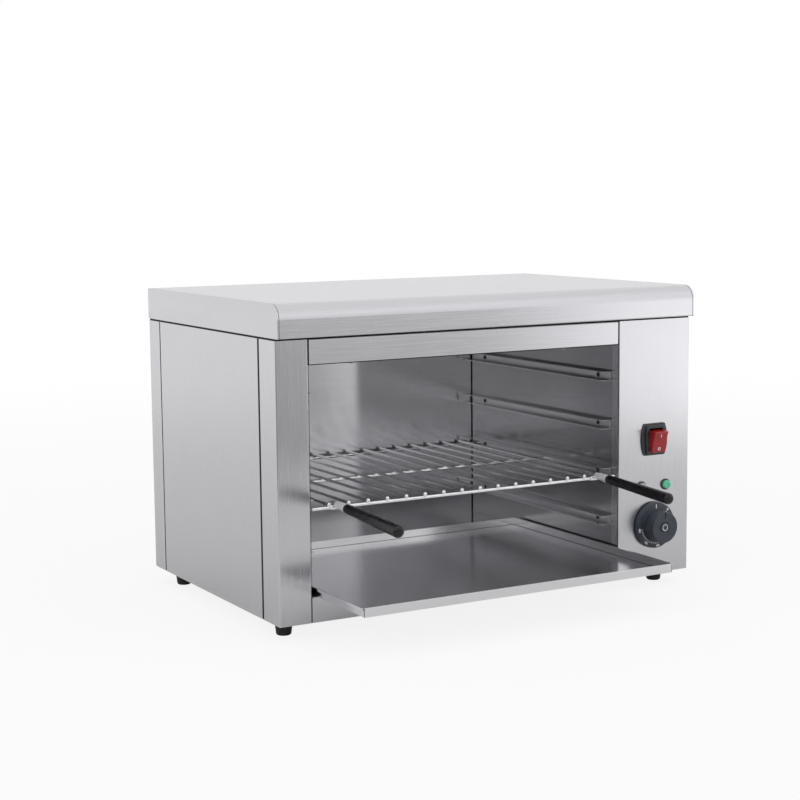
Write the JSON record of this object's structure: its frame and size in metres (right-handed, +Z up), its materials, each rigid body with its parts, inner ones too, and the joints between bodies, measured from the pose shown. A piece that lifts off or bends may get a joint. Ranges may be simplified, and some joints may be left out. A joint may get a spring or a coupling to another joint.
{
  "type": "cheese melter",
  "caption": "Counter-top stainless cheese melter with an open heated cavity, a wire rack with long handles on side runners, a pull-out drip tray and a dial, switch and lamps beside it.",
  "frame": {"origin": "centre of the whole object's footprint, handles and cable gland included, on the surface that the feet stand on", "axes": "+X to the right along the front, +Y from the front to the rear, +Z up"},
  "size_m": [0.601, 0.5624, 0.3975],
  "materials": {
    "brushed_stainless": "stainless sheet with a fine directional brushing",
    "mill_stainless": "stainless sheet with a dull mill finish",
    "bright_stainless": "bright drawn stainless",
    "plated_steel": "zinc-plated steel",
    "heater_sheath": "dark oxidised heater sheath",
    "black_plastic": "black moulded plastic",
    "knob_plastic": "satin black heat-proof plastic",
    "cap_plastic": "glossy dark cap",
    "red_plastic": "glossy translucent red plastic",
    "amber_lens": "translucent amber lens",
    "green_lens": "translucent green lens",
    "white_plastic": "off-white moulded plastic",
    "copper": "bare copper",
    "black_rubber": "black rubber"
  },
  "bodies": {
    "cabinet": {"front_post_left": "brushed_stainless", "side_panel_left": "brushed_stainless", "rear_post_left": "brushed_stainless", "control_panel": "brushed_stainless", "side_panel_right": "brushed_stainless", "rear_post_right": "brushed_stainless", "back_panel": "mill_stainless", "back_panel_screws": "plated_steel", "lintel": "brushed_stainless", "base_rail": "brushed_stainless", "base_pan": "mill_stainless", "cavity_floor": "mill_stainless", "liner_left": "mill_stainless", "liner_right": "mill_stainless", "liner_rear": "mill_stainless", "reflector": "bright_stainless", "top_plate": "mill_stainless", "cover_seal": "black_rubber", "top_cover": "brushed_stainless", "cover_end_left": "brushed_stainless", "cover_end_right": "brushed_stainless", "foot_screws": "plated_steel", "foot_nuts": "plated_steel", "runners_left": "mill_stainless", "runners_right": "mill_stainless", "runner_rivets": "bright_stainless", "heater_nuts": "plated_steel", "heater_brackets": "mill_stainless", "switch_frame": "black_plastic", "switch_body": "black_plastic", "lamp_clips": "plated_steel", "thermostat_body": "black_plastic", "thermostat_screws": "plated_steel", "thermostat_bulb": "copper", "bulb_clips": "plated_steel", "capillary": "copper", "cable_gland": "black_plastic", "gland_locknut": "black_plastic", "terminal_block": "white_plastic", "foot_front_left": "black_rubber", "foot_front_right": "black_rubber", "foot_rear_left": "black_rubber", "foot_rear_right": "black_rubber", "heater_element_1": "heater_sheath", "heater_element_2": "heater_sheath", "heater_element_3": "heater_sheath", "lamp_lens_amber": "amber_lens", "lamp_body_amber": "black_plastic", "lamp_lens_green": "green_lens", "lamp_body_green": "black_plastic"},
    "rack": {"rack_grid": "bright_stainless", "handle_ferrules": "bright_stainless", "handle_grip_left": "black_plastic", "handle_grip_right": "black_plastic"},
    "tray": {"drip_tray": "mill_stainless"},
    "dial": {"knob": "knob_plastic", "knob_cap": "cap_plastic", "thermostat_spindle": "plated_steel"},
    "switch_rocker": {"rocker": "red_plastic"}
  },
  "joints": [
    {"name": "rack_slide", "type": "slide", "parent": "cabinet", "child": "rack", "axis": [0, -1, 0], "range_m": [-0.003, 0.34]},
    {"name": "tray_slide", "type": "slide", "parent": "cabinet", "child": "tray", "axis": [0, -1, 0], "range_m": [-0.1175, 0.23]},
    {"name": "dial_turn", "type": "hinge", "parent": "cabinet", "child": "dial", "pos_m": [0.243, -0.12979, 0.085], "axis": [0, 1, 0], "range_deg": [0, 270]},
    {"name": "rocker_tip", "type": "hinge", "parent": "cabinet", "child": "switch_rocker", "pos_m": [0.243, -0.13279, 0.1985], "axis": [1, 0, 0], "range_deg": [-28, 0]}
  ]
}
